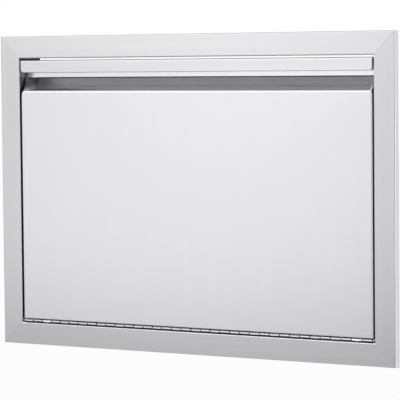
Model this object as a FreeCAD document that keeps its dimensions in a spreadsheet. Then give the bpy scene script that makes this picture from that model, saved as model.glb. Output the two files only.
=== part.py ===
import FreeCAD, Part
import os
import Sketcher

# A framed drop-down access door for an outdoor kitchen island.
# X runs along the front, Y into the island and Z up. The origin is the centre of the
# cut-out on the island's face, so Y = 0 is the plane that the frame bears on.

doc = FreeCAD.newDocument("drop_down_access_door")
sizes = doc.addObject("Spreadsheet::Sheet", "sizes")

driving_sizes = [
    ("frame_width", 762, "outside of the face frame, left to right"),
    ("frame_height", 533.4, "outside of the face frame, bottom to top"),
    ("flange_width", 38.1, "face of each rail and stile"),
    ("return_depth", 12, "how far the frame's face stands out from the island"),
    ("jamb_depth", 52, "how far the jamb reaches into the cut-out"),
    ("frame_gauge", 1.2, "sheet of the frame"),
    ("frame_bend", 0.8, "inside radius of the frame's bends"),
    ("mount_hole_radius", 2.6, "screw holes in the side jambs"),
    ("mount_hole_inset", 9, "screw holes from the jamb's back edge"),
    ("mount_hole_end", 78, "screw holes from the opening's top and bottom"),
    ("gusset_leg", 62, "length of a corner gusset's legs"),
    ("gusset_gauge", 2, "sheet of the corner gussets"),
    ("gusset_gap", 0.6, "room between a gusset and the bends beside it"),
    ("door_gap", 3.2, "running gap beside and above the door"),
    ("door_setback", 1.2, "door's face behind the frame's face"),
    ("skin_gauge", 1.2, "sheet of the door's front"),
    ("skin_bend", 0.8, "inside radius of the door's bends"),
    ("corner_round", 5, "rounding at the ends of the finger pull's slope"),
    ("lip_height", 21.4, "down-turned lip of the finger pull"),
    ("lip_corner", 7, "rounding of the lip's lower corners"),
    ("mouth_height", 32.6, "lip's lower edge to the front panel's top edge"),
    ("pull_depth", 21, "door's face to the back wall of the finger pull"),
    ("slope_rise", 24.2, "height of the slope up to that back wall"),
    ("back_space", 6, "that back wall's face to the back of the hems"),
    ("hem_width", 16, "hems round the back of the door's front"),
    ("liner_gauge", 1, "sheet of the door's liner"),
    ("liner_inset", 1.5, "liner's edge inside the door's edge"),
    ("liner_corner", 4, "rounding of the liner's corners"),
    ("knuckle_pairs", 18, "frame knuckles, and as many door knuckles"),
    ("knuckle_radius", 2.6, "outside of the hinge's barrel"),
    ("knuckle_gap", 0.5, "between neighbouring knuckles"),
    ("pin_radius", 1.2, "hinge pin"),
    ("pin_play", 0.05, "knuckle bore over pin"),
    ("leaf_gauge", 1.2, "sheet of the hinge leaves"),
    ("leaf_width", 20, "hinge pin to the back edge of a leaf"),
    ("hinge_clear", 0.3, "barrel to the sheets above and below it"),
    ("swing_gap", 0.4, "door's face to the frame's face when it hangs fully open"),
    ("tack_length", 4, "tack weld along the hinge"),
    ("tack_height", 1.2, "tack weld below the hinge leaf"),
    ("tack_proud", 0.4, "tack weld in front of the frame's face"),
    ("stop_reach", 18, "stop angle's leg across the opening"),
    ("stop_leg", 15, "stop angle's leg along the jamb"),
    ("stop_gauge", 1.5, "sheet of the stop angles"),
    ("stop_bend", 1, "inside radius of a stop angle's bend"),
    ("stop_end_gap", 2, "stop angles from what stands at their ends"),
    ("bumper_radius", 4, "rubber bumper"),
    ("bumper_height", 2.2, "rubber bumper"),
    ("bumper_end", 45, "rubber bumpers from the ends of their stop angle"),
    ("rest_gap", 0.3, "closed door to its bumpers and magnets"),
    ("catch_drop", 60, "middle of a magnetic catch below the top jamb"),
    ("catch_reach", 14, "middle of its magnet from the side jamb"),
    ("catch_wall", 2, "plastic round the magnet"),
    ("catch_ear", 11, "mounting ears above and below the catch"),
    ("catch_ear_gauge", 3, "mounting ears"),
    ("pole_length", 24, "steel pole plates and magnet, bottom to top"),
    ("pole_gauge", 1.6, "steel pole plates"),
    ("pole_depth", 12, "steel pole plates, front to back"),
    ("pole_proud", 1, "pole plates in front of their housing"),
    ("pole_play", 0.1, "housing round the pole plates"),
    ("magnet_gauge", 5, "magnet between the pole plates"),
    ("magnet_setback", 2, "magnet behind the pole plates' front"),
    ("screw_radius", 1.7, "catch screw's shank"),
    ("screw_head_radius", 3.4, "catch screw's hexagon head, to its corners"),
    ("screw_head_height", 1.9, "catch screw's head"),
    ("screw_tail", 3, "catch screw beyond the jamb"),
    ("screw_play", 0.15, "screw hole over screw"),
    ("strike_length", 46, "strike plate on the liner, bottom to top"),
    ("strike_width", 12, "strike plate on the liner"),
    ("strike_gauge", 1.2, "sheet of the strike plate"),
    ("strike_corner", 2, "clipped corners of the strike plate"),
]
for row, (alias, size, meaning) in enumerate(driving_sizes, start=1):
    sizes.set(f"A{row}", alias)
    sizes.set(f"B{row}", str(size))
    sizes.set(f"C{row}", meaning)
    sizes.setAlias(f"B{row}", alias)
doc.recompute()

# Planes and places that several pieces share.
half_width = "(sizes.frame_width / 2)"
half_height = "(sizes.frame_height / 2)"
open_x = f"({half_width} - sizes.flange_width)"
open_z = f"({half_height} - sizes.flange_width)"
face_y = "(-sizes.return_depth)"
face_back = f"({face_y} + sizes.frame_gauge)"
frame_round = "(sizes.frame_bend + sizes.frame_gauge)"
skin_round = "(sizes.skin_bend + sizes.skin_gauge)"

door_y = f"({face_y} + sizes.door_setback)"
wall_y = f"({door_y} + sizes.pull_depth)"
door_back = f"({wall_y} + sizes.back_space)"
liner_back = f"({door_back} + sizes.liner_gauge)"
door_x = f"({open_x} - sizes.door_gap)"
door_top = f"({open_z} - sizes.door_gap)"

pin_y = f"(({face_y} + {door_y} - sizes.swing_gap) / 2)"
barrel_rise = "(sizes.knuckle_radius + sizes.hinge_clear)"
pin_z = f"(-{open_z} + {barrel_rise})"
door_bottom = f"({pin_z} + {barrel_rise})"
knuckle_pitch = f"({door_x} / sizes.knuckle_pairs)"

lip_bottom = f"({door_top} - sizes.lip_height)"
panel_top = f"({lip_bottom} - sizes.mouth_height)"
slope_top = f"({panel_top} + sizes.slope_rise)"

stop_y = f"({liner_back} + sizes.rest_gap + sizes.bumper_height)"
strike_back = f"({liner_back} + sizes.strike_gauge)"
pole_front = f"({strike_back} + sizes.rest_gap)"
catch_front = f"({pole_front} + sizes.pole_proud)"
pole_back = f"({pole_front} + sizes.pole_depth)"
catch_back = f"({pole_back} + sizes.catch_wall)"
catch_x = f"({open_x} - sizes.catch_reach)"
catch_z = f"({open_z} - sizes.catch_drop)"
stack_half = "(sizes.magnet_gauge / 2 + sizes.pole_gauge)"
catch_inner = f"({catch_x} - {stack_half} - sizes.pole_play - sizes.catch_wall)"
catch_half = "(sizes.pole_length / 2 + sizes.pole_play + sizes.catch_wall)"
catch_ear_end = f"({catch_half} + sizes.catch_ear)"
ear_x = f"({open_x} - sizes.catch_ear_gauge)"
stop_bottom = f"(-{open_z} + sizes.stop_end_gap)"
stop_top = f"({catch_z} - {catch_ear_end} - sizes.stop_end_gap)"



def number(expression):
    return float(sizes.evalExpression(expression))


def new_body(label):
    body = doc.addObject("PartDesign::Body", label)
    body.Label = label
    return body


def origin_part(body, role):
    return next(part for part in body.Origin.OriginFeatures if part.Role == role)


def new_sketch(body, name, role, offset=None):
    sketch = body.newObject("Sketcher::SketchObject", name)
    sketch.AttachmentSupport = (origin_part(body, role), [""])
    sketch.MapMode = "FlatFace"
    if offset is not None:
        sketch.setExpression("AttachmentOffset.Base.z", offset)
    return sketch


def bind_point(sketch, geometry, point, across, up):
    for kind, expression in (("DistanceX", across), ("DistanceY", up)):
        rule = Sketcher.Constraint(kind, -1, 1, geometry, point, number(expression))
        place = sketch.addConstraint(rule)
        sketch.setExpression(f"Constraints[{place}]", expression)


def add_outline(sketch, corners):
    points = [FreeCAD.Vector(number(across), number(up), 0) for across, up in corners]
    first = sketch.GeometryCount
    for index, point in enumerate(points):
        sketch.addGeometry(Part.LineSegment(point, points[(index + 1) % len(points)]), False)
    for index, (across, up) in enumerate(corners):
        following = first + (index + 1) % len(corners)
        sketch.addConstraint(Sketcher.Constraint("Coincident", first + index, 2, following, 1))
        bind_point(sketch, first + index, 1, across, up)


def add_box(sketch, left, right, low, high):
    add_outline(sketch, [(left, low), (right, low), (right, high), (left, high)])


def add_circle(sketch, across, up, radius):
    centre = FreeCAD.Vector(number(across), number(up), 0)
    upright = FreeCAD.Vector(0, 0, 1)
    circle = sketch.addGeometry(Part.Circle(centre, upright, number(radius)), False)
    bind_point(sketch, circle, 3, across, up)
    place = sketch.addConstraint(Sketcher.Constraint("Radius", circle, number(radius)))
    sketch.setExpression(f"Constraints[{place}]", radius)


def pad(body, name, sketch, length, symmetric=False, backwards=False):
    feature = body.newObject("PartDesign::Pad", name)
    feature.Profile = sketch
    feature.setExpression("Length", length)
    feature.SideType = "Symmetric" if symmetric else "One side"
    feature.Reversed = backwards
    doc.recompute()
    return feature


def pocket_through(body, name, sketch):
    before = body.Shape.Volume
    feature = body.newObject("PartDesign::Pocket", name)
    feature.Profile = sketch
    feature.Type = "ThroughAll"
    feature.SideType = "Symmetric"
    doc.recompute()
    if body.Shape.Volume >= before:
        raise RuntimeError(f"{body.Label}: {name} cuts nothing")
    return feature


def pocket_blind(body, name, sketch, length):
    before = body.Shape.Volume
    feature = body.newObject("PartDesign::Pocket", name)
    feature.Profile = sketch
    feature.setExpression("Length", length)
    doc.recompute()
    if body.Shape.Volume >= before:
        raise RuntimeError(f"{body.Label}: {name} cuts nothing")
    return feature


def straight_edges(body, axis, places):
    # Edges along one axis, found by where they stand on the other two.
    others = [index for index in range(3) if index != "XYZ".index(axis)]
    wanted = [(number(first), number(second)) for first, second in places]
    names = []
    for index, edge in enumerate(body.Shape.Edges, start=1):
        ends = [vertex.Point for vertex in edge.Vertexes]
        if edge.Curve.TypeId != "Part::GeomLine" or len(ends) < 2:
            continue
        if any(abs(ends[0][other] - ends[1][other]) > 0.001 for other in others):
            continue
        stand = [ends[0][other] for other in others]
        if any(abs(stand[0] - a) < 0.001 and abs(stand[1] - b) < 0.001 for a, b in wanted):
            names.append(f"Edge{index}")
    return names


def round_edges(body, name, radius, edges):
    if not edges:
        raise RuntimeError(f"{body.Label}: {name} finds no edges")
    base = body.Tip
    feature = body.newObject("PartDesign::Fillet", name)
    feature.Base = (base, edges)
    feature.setExpression("Radius", radius)
    doc.recompute()
    return feature


def frame_piece(label, plane, sign):
    # One bent sheet: outer return, flat face and jamb, cut to 45 degrees at both ends.
    upright = plane == "XY_Plane"
    half, opening = (half_width, open_x) if upright else (half_height, open_z)
    outer = f"({sign} * {half})"
    outer_back = f"({sign} * ({half} - sizes.frame_gauge))"
    inner = f"({sign} * {opening})"
    inner_back = f"({sign} * ({opening} + sizes.frame_gauge))"
    section = [
        ("0", outer),
        (face_y, outer),
        (face_y, inner),
        ("sizes.jamb_depth", inner),
        ("sizes.jamb_depth", inner_back),
        (face_back, inner_back),
        (face_back, outer_back),
        ("0", outer_back),
    ]
    outside_bends = [(face_y, outer), (face_y, inner)]
    inside_bends = [(face_back, inner_back), (face_back, outer_back)]
    if upright:
        section = [(out, depth) for depth, out in section]
        outside_bends = [(out, depth) for depth, out in outside_bends]
        inside_bends = [(out, depth) for depth, out in inside_bends]
    axis = "Z" if upright else "X"
    body = new_body(label)
    sketch = new_sketch(body, f"{label}_section", plane)
    add_outline(sketch, section)
    length = "sizes.frame_height" if upright else "sizes.frame_width"
    pad(body, f"{label}_sheet", sketch, length, symmetric=True)
    edges = straight_edges(body, axis, outside_bends)
    round_edges(body, f"{label}_outside_bends", frame_round, edges)
    edges = straight_edges(body, axis, inside_bends)
    round_edges(body, f"{label}_inside_bends", "sizes.frame_bend", edges)

    mitres = new_sketch(body, f"{label}_mitre_lines", "XZ_Plane")
    inside_x = f"({open_x} - sizes.flange_width)"
    inside_z = f"({open_z} - sizes.flange_width)"
    outside_x = f"({half_width} + sizes.flange_width)"
    outside_z = f"({half_height} + sizes.flange_width)"
    for end in (-1, 1):
        across, up = (sign, end) if upright else (end, sign)
        third = (inside_x, outside_z) if upright else (outside_x, inside_z)
        triangle = [(inside_x, inside_z), (outside_x, outside_z), third]
        add_outline(mitres, [(f"{across} * {x}", f"{up} * {z}") for x, z in triangle])
    pocket_through(body, f"{label}_mitres", mitres)
    return body


def catch_screw_places():
    reach = f"({catch_half} + sizes.catch_ear / 2)"
    return [(f"(({catch_front} + {catch_back}) / 2)", f"({catch_z} + {end} * {reach})") for end in (-1, 1)]


def jamb_holes(stile):
    # Screw holes that fix the frame in the cut-out, and the holes of the catch's screws.
    mounts = new_sketch(stile, f"{stile.Label}_mount_hole_places", "YZ_Plane")
    depth = "sizes.jamb_depth - sizes.mount_hole_inset"
    for end in (-1, 1):
        add_circle(mounts, depth, f"{end} * ({open_z} - sizes.mount_hole_end)", "sizes.mount_hole_radius")
    pocket_through(stile, f"{stile.Label}_mount_holes", mounts)
    catches = new_sketch(stile, f"{stile.Label}_catch_hole_places", "YZ_Plane")
    for screw_y, screw_z in catch_screw_places():
        add_circle(catches, screw_y, screw_z, "sizes.screw_radius + sizes.screw_play")
    pocket_through(stile, f"{stile.Label}_catch_holes", catches)


def corner_gusset(label, side, end):
    # L plate that lies behind both faces of a mitred corner.
    inset = "(sizes.frame_gauge + sizes.frame_bend + sizes.gusset_gap)"
    outer_x = f"({half_width} - {inset})"
    outer_z = f"({half_height} - {inset})"
    inner_x = f"({open_x} + {inset})"
    inner_z = f"({open_z} + {inset})"
    corners = [
        (outer_x, outer_z),
        (f"({outer_x} - sizes.gusset_leg)", outer_z),
        (f"({outer_x} - sizes.gusset_leg)", inner_z),
        (inner_x, inner_z),
        (inner_x, f"({outer_z} - sizes.gusset_leg)"),
        (outer_x, f"({outer_z} - sizes.gusset_leg)"),
    ]
    body = new_body(label)
    sketch = new_sketch(body, f"{label}_outline", "XZ_Plane", f"-{face_back}")
    add_outline(sketch, [(f"{side} * {x}", f"{end} * {z}") for x, z in corners])
    pad(body, f"{label}_plate", sketch, "sizes.gusset_gauge", backwards=True)
    return body


def stop_angle(label, side):
    # Angle on a side jamb: one leg along the jamb, one across the back of the door.
    root = f"({side} * {open_x})"
    root_face = f"({side} * ({open_x} - sizes.stop_gauge))"
    tip = f"({side} * ({open_x} - sizes.stop_reach))"
    leg_back = f"({stop_y} + sizes.stop_gauge)"
    leg_end = f"({stop_y} + sizes.stop_leg)"
    body = new_body(label)
    sketch = new_sketch(body, f"{label}_section", "XY_Plane", stop_bottom)
    add_outline(sketch, [
        (root, stop_y),
        (tip, stop_y),
        (tip, leg_back),
        (root_face, leg_back),
        (root_face, leg_end),
        (root, leg_end),
    ])
    pad(body, f"{label}_bar", sketch, f"{stop_top} - {stop_bottom}")
    edges = straight_edges(body, "Z", [(root, stop_y)])
    round_edges(body, f"{label}_outside_bend", "sizes.stop_bend + sizes.stop_gauge", edges)
    edges = straight_edges(body, "Z", [(root_face, leg_back)])
    round_edges(body, f"{label}_inside_bend", "sizes.stop_bend", edges)
    return body


def bumper(label, side, end):
    body = new_body(label)
    sketch = new_sketch(body, f"{label}_outline", "XZ_Plane", f"-{stop_y}")
    across = f"{side} * ({open_x} - sizes.stop_reach / 2)"
    up = f"{stop_top} - sizes.bumper_end" if end == "top" else f"{stop_bottom} + sizes.bumper_end"
    add_circle(sketch, across, up, "sizes.bumper_radius")
    pad(body, f"{label}_disc", sketch, "sizes.bumper_height")
    return body


def hinge_leaf(label, low, high, first_notch):
    # Leaf with a rolled barrel. The notches leave every second knuckle, and the bore takes the pin.
    body = new_body(label)
    leaf = new_sketch(body, f"{label}_leaf_section", "YZ_Plane")
    add_box(leaf, pin_y, f"{pin_y} + sizes.leaf_width", low, high)
    pad(body, f"{label}_leaf", leaf, f"2 * {door_x}", symmetric=True)
    barrel = new_sketch(body, f"{label}_barrel_section", "YZ_Plane")
    add_circle(barrel, pin_y, pin_z, "sizes.knuckle_radius")
    pad(body, f"{label}_barrel", barrel, f"2 * {door_x}", symmetric=True)
    notch = new_sketch(body, f"{label}_notch_outline", "XY_Plane")
    left = f"(-{door_x} + {first_notch} * {knuckle_pitch} - sizes.knuckle_gap / 2)"
    right = f"(-{door_x} + ({first_notch} + 1) * {knuckle_pitch} + sizes.knuckle_gap / 2)"
    add_box(notch, left, right, f"{pin_y} - 2 * {barrel_rise}", f"{pin_y} + {barrel_rise}")
    first = pocket_through(body, f"{label}_notch", notch)
    before = body.Shape.Volume
    row = body.newObject("PartDesign::LinearPattern", f"{label}_notches")
    row.Originals = [first]
    row.Direction = (origin_part(body, "X_Axis"), [""])
    row.setExpression("Length", f"2 * {knuckle_pitch} * (sizes.knuckle_pairs - 1)")
    row.setExpression("Occurrences", "sizes.knuckle_pairs")
    body.Tip = row
    doc.recompute()
    if body.Shape.Volume >= before:
        raise RuntimeError(f"{label}: the row of notches cuts nothing")
    # The bore has eight flats that touch the running fit's circle, to keep the long row light.
    bore = new_sketch(body, f"{label}_bore_outline", "YZ_Plane")
    reach = "((sizes.pin_radius + sizes.pin_play) / cos(22.5 deg))"
    turns = [f"({45 * corner + 22.5} deg)" for corner in range(8)]
    add_outline(bore, [
        (f"{pin_y} + {reach} * cos{turn}", f"{pin_z} + {reach} * sin{turn}") for turn in turns
    ])
    pocket_through(body, f"{label}_bore", bore)
    return body


def hinge_pin():
    pin = doc.addObject("Part::Cylinder", "hinge_pin")
    pin.Label = "hinge_pin"
    pin.setExpression("Radius", "sizes.pin_radius")
    pin.setExpression("Height", f"2 * {door_x}")
    pin.Placement = FreeCAD.Placement(FreeCAD.Vector(), FreeCAD.Rotation(FreeCAD.Vector(0, 1, 0), 90))
    pin.setExpression("Placement.Base.x", f"-{door_x}")
    pin.setExpression("Placement.Base.y", pin_y)
    pin.setExpression("Placement.Base.z", pin_z)
    return pin


def tack_welds():
    # Two beads in the groove under the frame's knuckles, near the hinge's ends. A bead lies against the
    # leaf's underside and along the middle of the rail's bend.
    left_tack_pair = 2
    right_tack_pair = 1
    places = {
        "left_tack": f"(-{door_x} + (2 * {left_tack_pair} - 1.5) * {knuckle_pitch})",
        "right_tack": f"({door_x} - (2 * {right_tack_pair} - 0.5) * {knuckle_pitch})",
    }
    top = f"(-{open_z})"
    low = f"({top} - sizes.tack_height)"
    front = f"({face_y} - sizes.tack_proud)"
    seat = f"({face_y} + {frame_round} * (2 - sqrt(2)) + {open_z})"
    body = new_body("hinge_tack_welds")
    for name, across in places.items():
        sketch = new_sketch(body, f"{name}_section", "YZ_Plane", across)
        add_outline(sketch, [
            (front, low),
            (f"{seat} + {low}", low),
            (f"{seat} + {top}", top),
            (front, top),
        ])
        pad(body, f"{name}_bead", sketch, "sizes.tack_length", symmetric=True)
    return body


def pull_end_edges(body):
    # Both ends of the slope, its bend and the back wall, where they meet the side returns.
    names = []
    for index, edge in enumerate(body.Shape.Edges, start=1):
        middle = edge.CenterOfMass
        if abs(abs(middle.x) - number(door_x)) > 0.001:
            continue
        behind_face = middle.y > number(door_y) + 0.001
        if behind_face and middle.y < number(wall_y) + 0.001 and middle.z > number(panel_top):
            names.append(f"Edge{index}")
    return names


def front_face_edges(body):
    # Outline of the front panel's flat face.
    names = []
    for face in body.Shape.Faces:
        if face.Surface.TypeId != "Part::GeomPlane" or abs(face.CenterOfMass.y - number(door_y)) > 0.001:
            continue
        for index, edge in enumerate(body.Shape.Edges, start=1):
            if any(edge.isSame(other) for other in face.OuterWire.Edges):
                names.append(f"Edge{index}")
    return names


def flat_face_at(body, depth):
    for index, face in enumerate(body.Shape.Faces, start=1):
        if face.Surface.TypeId == "Part::GeomPlane" and abs(face.CenterOfMass.y - number(depth)) < 0.001:
            return f"Face{index}"
    raise RuntimeError(f"{body.Label}: no flat face at {depth}")


def door_front():
    # One sheet folded into the front panel, the slope and back wall of the finger pull, the top and
    # the lip, with returns at both sides and the bottom, and hems round the back.
    body = new_body("door_front")
    form = new_sketch(body, "door_front_section", "YZ_Plane")
    add_outline(form, [
        (door_y, door_bottom),
        (door_y, panel_top),
        (wall_y, slope_top),
        (wall_y, door_top),
        (door_back, door_top),
        (door_back, door_bottom),
    ])
    pad(body, "door_front_form", form, f"2 * {door_x}", symmetric=True)
    edges = straight_edges(body, "X", [(wall_y, slope_top)])
    round_edges(body, "pull_wall_bend", "sizes.skin_bend", edges)
    end_round = "min(sizes.corner_round; sizes.back_space - sizes.skin_bend)"
    round_edges(body, "pull_end_rounds", end_round, pull_end_edges(body))
    round_edges(body, "panel_bends", skin_round, front_face_edges(body))

    solid = body.Tip
    back_face = flat_face_at(body, door_back)
    shell = body.newObject("PartDesign::Thickness", "door_front_sheet")
    shell.Base = (solid, [back_face])
    shell.setExpression("Value", "sizes.skin_gauge")
    shell.Reversed = True
    doc.recompute()

    # The hems stand half a sheet inside the returns, so that they are one piece with them.
    half_sheet = "sizes.skin_gauge / 2"
    hem_x = f"({door_x} - sizes.hem_width)"
    hems = new_sketch(body, "hem_outline", "XZ_Plane", f"-({door_back} - sizes.skin_gauge)")
    edge_x = f"({door_x} - {half_sheet})"
    add_box(hems, f"-{edge_x}", edge_x, f"{door_bottom} + {half_sheet}", f"{door_top} - {half_sheet}")
    low = f"({door_bottom} + sizes.hem_width)"
    add_box(hems, f"-{hem_x}", hem_x, low, f"{door_top} - sizes.hem_width")
    pad(body, "hems", hems, "sizes.skin_gauge", backwards=True)

    lip_back = f"({door_y} + sizes.skin_gauge)"
    top_under = f"({door_top} - sizes.skin_gauge)"
    wall_back = f"({wall_y} + sizes.skin_gauge)"
    pull = new_sketch(body, "pull_section", "YZ_Plane")
    add_outline(pull, [
        (door_y, door_top),
        (wall_back, door_top),
        (wall_back, top_under),
        (lip_back, top_under),
        (lip_back, lip_bottom),
        (door_y, lip_bottom),
    ])
    pad(body, "pull_top_and_lip", pull, f"2 * {door_x}", symmetric=True)
    edges = straight_edges(body, "X", [(door_y, door_top)])
    round_edges(body, "lip_outside_bend", skin_round, edges)
    edges = straight_edges(body, "X", [(lip_back, top_under)])
    round_edges(body, "lip_inside_bend", "sizes.skin_bend", edges)
    ends = [(door_x, lip_bottom), (f"-{door_x}", lip_bottom)]
    round_edges(body, "lip_corners", "sizes.lip_corner", straight_edges(body, "Y", ends))
    return body


def door_liner():
    body = new_body("door_liner")
    sketch = new_sketch(body, "liner_outline", "XZ_Plane", f"-{door_back}")
    edge_x = f"({door_x} - sizes.liner_inset)"
    low = f"({door_bottom} + sizes.liner_inset)"
    high = f"({door_top} - sizes.liner_inset)"
    add_box(sketch, f"-{edge_x}", edge_x, low, high)
    pad(body, "liner_sheet", sketch, "sizes.liner_gauge", backwards=True)
    corners = [(f"{side} * {edge_x}", end) for side in (-1, 1) for end in (low, high)]
    round_edges(body, "liner_corners", "sizes.liner_corner", straight_edges(body, "Y", corners))
    return body


def strike_plate(label, side):
    # Plate on the liner that a magnet holds, with its corners clipped.
    body = new_body(label)
    left = f"({side} * {catch_x} - sizes.strike_width / 2)"
    right = f"({side} * {catch_x} + sizes.strike_width / 2)"
    low = f"({catch_z} - sizes.strike_length / 2)"
    high = f"({catch_z} + sizes.strike_length / 2)"
    clip = "sizes.strike_corner"
    sketch = new_sketch(body, f"{label}_outline", "XZ_Plane", f"-{liner_back}")
    add_outline(sketch, [
        (f"{left} + {clip}", low),
        (f"{right} - {clip}", low),
        (right, f"{low} + {clip}"),
        (right, f"{high} - {clip}"),
        (f"{right} - {clip}", high),
        (f"{left} + {clip}", high),
        (left, f"{high} - {clip}"),
        (left, f"{low} + {clip}"),
    ])
    pad(body, f"{label}_sheet", sketch, "sizes.strike_gauge", backwards=True)
    return body


def catch_housing(label, side):
    # Moulded block on the side jamb with a pocket for the magnet and its pole plates, and a screw ear
    # above and below.
    jamb = f"({side} * {open_x})"
    ear_face = f"({side} * {ear_x})"
    inner = f"({side} * {catch_inner})"
    low = f"({catch_z} - {catch_half})"
    high = f"({catch_z} + {catch_half})"
    ear_low = f"({catch_z} - {catch_ear_end})"
    ear_high = f"({catch_z} + {catch_ear_end})"
    body = new_body(label)
    block = new_sketch(body, f"{label}_outline", "XZ_Plane", f"-{catch_front}")
    add_outline(block, [
        (jamb, ear_low),
        (ear_face, ear_low),
        (ear_face, low),
        (inner, low),
        (inner, high),
        (ear_face, high),
        (ear_face, ear_high),
        (jamb, ear_high),
    ])
    pad(body, f"{label}_block", block, f"{catch_back} - {catch_front}", backwards=True)
    pocket_x = f"({stack_half} + sizes.pole_play)"
    pocket_z = "(sizes.pole_length / 2 + sizes.pole_play)"
    middle = f"({side} * {catch_x})"
    mouth = new_sketch(body, f"{label}_pocket_outline", "XZ_Plane", f"-{catch_front}")
    left, right = f"{middle} - {pocket_x}", f"{middle} + {pocket_x}"
    add_box(mouth, left, right, f"{catch_z} - {pocket_z}", f"{catch_z} + {pocket_z}")
    pocket_blind(body, f"{label}_pocket", mouth, "sizes.pole_depth - sizes.pole_proud")
    holes = new_sketch(body, f"{label}_hole_places", "YZ_Plane")
    for screw_y, screw_z in catch_screw_places():
        add_circle(holes, screw_y, screw_z, "sizes.screw_radius + sizes.screw_play")
    pocket_through(body, f"{label}_holes", holes)
    return body


def catch_block(label, middle, gauge, front):
    # Magnet or pole plate: a plain bar in the housing's pocket.
    block = doc.addObject("Part::Box", label)
    block.Label = label
    block.setExpression("Length", gauge)
    block.setExpression("Width", f"{pole_back} - {front}")
    block.setExpression("Height", "sizes.pole_length")
    block.setExpression("Placement.Base.x", f"{middle} - {gauge} / 2")
    block.setExpression("Placement.Base.y", front)
    block.setExpression("Placement.Base.z", f"{catch_z} - sizes.pole_length / 2")
    return block


def catch_screws():
    # Hexagon heads on the ears, shanks out through the side jambs.
    body = new_body("catch_screws")
    turns = [f"({60 * corner} deg)" for corner in range(6)]
    reach = "sizes.screw_head_radius"
    for hand, side in hands.items():
        heads = new_sketch(body, f"{hand}_screw_head_outline", "YZ_Plane", f"{side} * {ear_x}")
        shanks = new_sketch(body, f"{hand}_screw_shank_outline", "YZ_Plane", f"{side} * {ear_x}")
        for screw_y, screw_z in catch_screw_places():
            add_outline(heads, [
                (f"{screw_y} + {reach} * cos{turn}", f"{screw_z} + {reach} * sin{turn}") for turn in turns
            ])
            add_circle(shanks, screw_y, screw_z, "sizes.screw_radius")
        outward = side > 0
        pad(body, f"{hand}_screw_heads", heads, "sizes.screw_head_height", backwards=outward)
        length = "sizes.catch_ear_gauge + sizes.frame_gauge + sizes.screw_tail"
        pad(body, f"{hand}_screw_shanks", shanks, length, backwards=not outward)
    return body


hands = {"left": -1, "right": 1}
ends = {"bottom": -1, "top": 1}

# Frame.
top_rail = frame_piece("frame_top_rail", "YZ_Plane", 1)
bottom_rail = frame_piece("frame_bottom_rail", "YZ_Plane", -1)
left_stile = frame_piece("frame_left_stile", "XY_Plane", -1)
right_stile = frame_piece("frame_right_stile", "XY_Plane", 1)
jamb_holes(left_stile)
jamb_holes(right_stile)
single_pieces = [top_rail, bottom_rail, left_stile, right_stile]
for hand, side in hands.items():
    single_pieces.append(stop_angle(f"{hand}_stop_angle", side))
    for end_name, end in ends.items():
        single_pieces.append(corner_gusset(f"{end_name}_{hand}_gusset", side, end))
        single_pieces.append(bumper(f"{end_name}_{hand}_bumper", side, end_name))

# Hinge.
frame_leaf = hinge_leaf("hinge_frame_leaf", f"-{open_z}", f"-{open_z} + sizes.leaf_gauge", 1)
door_leaf = hinge_leaf("hinge_door_leaf", f"{door_bottom} - sizes.leaf_gauge", door_bottom, 0)
single_pieces += [frame_leaf, door_leaf, hinge_pin(), door_front(), door_liner()]

# Magnetic catches and the plates that they hold.
pole_offset = "((sizes.magnet_gauge + sizes.pole_gauge) / 2)"
magnet_front = f"({pole_front} + sizes.magnet_setback)"
for hand, side in hands.items():
    magnet_x = f"({side} * {catch_x})"
    outer_x = f"({side} * ({catch_x} + {pole_offset}))"
    inner_x = f"({side} * ({catch_x} - {pole_offset}))"
    single_pieces += [
        catch_housing(f"{hand}_catch_housing", side),
        catch_block(f"{hand}_catch_magnet", magnet_x, "sizes.magnet_gauge", magnet_front),
        catch_block(f"{hand}_catch_outer_pole", outer_x, "sizes.pole_gauge", pole_front),
        catch_block(f"{hand}_catch_inner_pole", inner_x, "sizes.pole_gauge", pole_front),
        strike_plate(f"{hand}_strike_plate", side),
    ]

# Pieces that come in sets share a node, one solid each.
tacks = tack_welds()
screws = catch_screws()
solid_counts = {piece: 1 for piece in single_pieces}
solid_counts[tacks] = 2
solid_counts[screws] = len(hands) * len(catch_screw_places())
doc.recompute()

for item in doc.Objects:
    if "Invalid" in item.State or "Error" in item.State:
        raise RuntimeError(f"{item.Label} failed: {item.State}")
for piece, count in solid_counts.items():
    shape = piece.Shape
    if shape.isNull() or not shape.isValid():
        raise RuntimeError(f"{piece.Label} has no valid shape")
    if len(shape.Solids) != count:
        raise RuntimeError(f"{piece.Label} has {len(shape.Solids)} solids")

os.makedirs("parts", exist_ok=True)
for piece in solid_counts:
    piece.Shape.exportStep(f"parts/{piece.Label}.step")
print(f"{len(solid_counts)} pieces written")
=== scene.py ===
import math

import bmesh
import bpy
import numpy as np
from mathutils import Matrix, Vector


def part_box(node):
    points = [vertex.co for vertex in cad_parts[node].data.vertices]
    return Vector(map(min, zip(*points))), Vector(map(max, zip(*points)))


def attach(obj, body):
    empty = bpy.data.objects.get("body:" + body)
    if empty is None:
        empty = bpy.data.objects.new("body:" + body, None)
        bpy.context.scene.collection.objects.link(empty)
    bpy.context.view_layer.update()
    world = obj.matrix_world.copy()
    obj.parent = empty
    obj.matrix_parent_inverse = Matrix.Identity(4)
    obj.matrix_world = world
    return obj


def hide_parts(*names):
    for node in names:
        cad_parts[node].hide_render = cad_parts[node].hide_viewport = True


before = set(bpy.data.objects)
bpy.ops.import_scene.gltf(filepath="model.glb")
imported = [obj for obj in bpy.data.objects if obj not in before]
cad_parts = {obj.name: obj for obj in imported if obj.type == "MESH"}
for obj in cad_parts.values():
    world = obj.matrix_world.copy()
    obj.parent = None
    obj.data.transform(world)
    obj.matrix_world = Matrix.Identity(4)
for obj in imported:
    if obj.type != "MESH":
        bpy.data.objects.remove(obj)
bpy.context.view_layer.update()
scene = bpy.context.scene
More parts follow.
